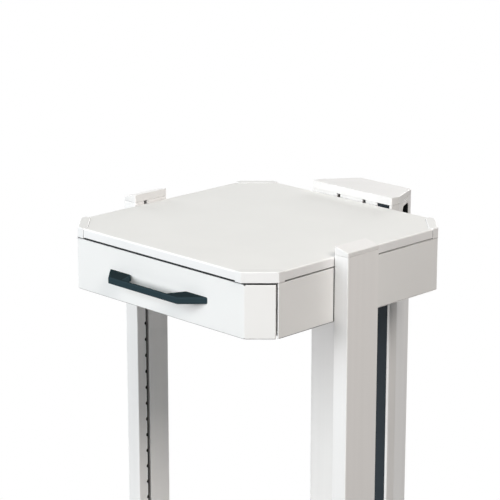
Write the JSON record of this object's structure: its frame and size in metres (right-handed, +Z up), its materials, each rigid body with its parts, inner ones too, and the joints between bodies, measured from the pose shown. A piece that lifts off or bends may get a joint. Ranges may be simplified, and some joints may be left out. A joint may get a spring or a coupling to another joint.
{
  "type": "medication cart",
  "caption": "Mobile ward cart: octagonal worktop over a drawer with a bow handle, slotted side posts and rear cable column on a castor base with an open deck.",
  "frame": {"origin": "on the floor, under the centre of the cart's bounding box", "axes": "+Z up, +Y to the rear (towards the cable column), +X to the cart's right side as seen from the front; the drawer opens along -Y"},
  "size_m": [0.5918, 0.6786, 0.9999],
  "materials": {
    "worktop_laminate": "white high-pressure laminate, fine matt grain",
    "edge_plastic": "white ABS edge band, satin, soft rounded arris",
    "cap_plastic": "white moulded corner cap, satin",
    "module_steel": "warm white powder coat on folded sheet steel, satin",
    "profile_aluminium": "extruded aluminium profile, white powder coat, satin",
    "profile_cap": "white moulded profile cap, satin",
    "handle_plastic": "dark slate moulded handle, satin",
    "strip_plastic": "dark blue-grey extruded cover strip, satin",
    "outlet_plastic": "light grey cable outlet frame, satin",
    "zinc_steel": "bright zinc plate on rolled steel",
    "base_steel": "light grey powder coat on welded steel tube, satin",
    "plug_plastic": "dark grey plug, satin",
    "shoe_cast": "cast aluminium shoe, light grey powder coat",
    "fork_plastic": "grey glass-filled nylon, fine matt",
    "hub_plastic": "grey moulded hub, satin",
    "tyre_rubber": "non-marking grey rubber tread, matt",
    "pedal_plastic": "dark slate moulded brake pedal, satin"
  },
  "bodies": {
    "cart_frame": {"worktop_panel": "worktop_laminate", "edge_band": "edge_plastic", "worktop_spacer": "plug_plastic", "corner_cap_front_right": "cap_plastic", "corner_cap_front_left": "cap_plastic", "corner_cap_rear_right": "cap_plastic", "corner_cap_rear_left": "cap_plastic", "housing_top_sheet": "module_steel", "housing_floor": "module_steel", "housing_side_right": "module_steel", "housing_side_left": "module_steel", "housing_back_sheet": "module_steel", "slide_outer_rails": "zinc_steel", "post_right": "profile_aluminium", "post_left": "profile_aluminium", "post_cap_right": "profile_cap", "post_cap_left": "profile_cap", "rear_column": "profile_aluminium", "column_cap": "profile_cap", "column_cover_strip": "strip_plastic", "cable_outlet": "outlet_plastic", "frame_bolts": "zinc_steel", "slot_nuts": "zinc_steel", "base_beam_right": "base_steel", "base_beam_left": "base_steel", "beam_end_plugs": "plug_plastic", "base_cross_front": "base_steel", "base_cross_rear": "base_steel", "base_deck": "base_steel", "post_shoe_right": "shoe_cast", "post_shoe_left": "shoe_cast", "column_shoe": "shoe_cast", "castor_stems": "zinc_steel"},
    "slide_middle": {"slide_mid_rails": "zinc_steel"},
    "drawer": {"drawer_front": "module_steel", "drawer_tray": "module_steel", "drawer_handle": "handle_plastic", "slide_inner_rails": "zinc_steel"},
    "castor_front_left": {"castor_fork_front_left": "fork_plastic", "castor_axle_front_left": "zinc_steel"},
    "castor_front_right": {"castor_fork_front_right": "fork_plastic", "castor_axle_front_right": "zinc_steel"},
    "castor_rear_left": {"castor_fork_rear_left": "fork_plastic", "castor_axle_rear_left": "zinc_steel"},
    "castor_rear_right": {"castor_fork_rear_right": "fork_plastic", "castor_axle_rear_right": "zinc_steel"},
    "wheel_front_left": {"castor_hub_front_left": "hub_plastic", "castor_tyre_front_left": "tyre_rubber"},
    "wheel_front_right": {"castor_hub_front_right": "hub_plastic", "castor_tyre_front_right": "tyre_rubber"},
    "wheel_rear_left": {"castor_hub_rear_left": "hub_plastic", "castor_tyre_rear_left": "tyre_rubber"},
    "wheel_rear_right": {"castor_hub_rear_right": "hub_plastic", "castor_tyre_rear_right": "tyre_rubber"},
    "pedal_left": {"brake_pedal_left": "pedal_plastic"},
    "pedal_right": {"brake_pedal_right": "pedal_plastic"}
  },
  "joints": [
    {"name": "drawer_slide", "type": "slide", "parent": "cart_frame", "child": "drawer", "axis": [0, -1, 0], "range_m": [0, 0.35]},
    {"name": "slide_mid_travel", "type": "slide", "parent": "cart_frame", "child": "slide_middle", "axis": [0, -1, 0], "range_m": [0, 0.175]},
    {"name": "swivel_front_left", "type": "hinge", "parent": "cart_frame", "child": "castor_front_left", "pos_m": [-0.26585, -0.24465, 0.12], "axis": [0, 0, 1], "continuous": true},
    {"name": "spin_front_left", "type": "hinge", "parent": "castor_front_left", "child": "wheel_front_left", "pos_m": [-0.26585, -0.21065, 0.05], "axis": [1, 0, 0], "continuous": true},
    {"name": "swivel_front_right", "type": "hinge", "parent": "cart_frame", "child": "castor_front_right", "pos_m": [0.26585, -0.24465, 0.12], "axis": [0, 0, 1], "continuous": true},
    {"name": "spin_front_right", "type": "hinge", "parent": "castor_front_right", "child": "wheel_front_right", "pos_m": [0.26585, -0.21065, 0.05], "axis": [1, 0, 0], "continuous": true},
    {"name": "swivel_rear_left", "type": "hinge", "parent": "cart_frame", "child": "castor_rear_left", "pos_m": [-0.26585, 0.25535, 0.12], "axis": [0, 0, 1], "continuous": true},
    {"name": "spin_rear_left", "type": "hinge", "parent": "castor_rear_left", "child": "wheel_rear_left", "pos_m": [-0.26585, 0.28935, 0.05], "axis": [1, 0, 0], "continuous": true},
    {"name": "swivel_rear_right", "type": "hinge", "parent": "cart_frame", "child": "castor_rear_right", "pos_m": [0.26585, 0.25535, 0.12], "axis": [0, 0, 1], "continuous": true},
    {"name": "spin_rear_right", "type": "hinge", "parent": "castor_rear_right", "child": "wheel_rear_right", "pos_m": [0.26585, 0.28935, 0.05], "axis": [1, 0, 0], "continuous": true},
    {"name": "pedal_tilt_left", "type": "hinge", "parent": "castor_front_left", "child": "pedal_left", "pos_m": [-0.26585, -0.16737, 0.08145], "axis": [1, 0, 0], "range_deg": [0, 22]},
    {"name": "pedal_tilt_right", "type": "hinge", "parent": "castor_front_right", "child": "pedal_right", "pos_m": [0.26585, -0.16737, 0.08145], "axis": [1, 0, 0], "range_deg": [0, 22]}
  ],
  "couplings": [
    {"joint": "slide_mid_travel", "follows": "drawer_slide", "ratio": 0.5}
  ]
}
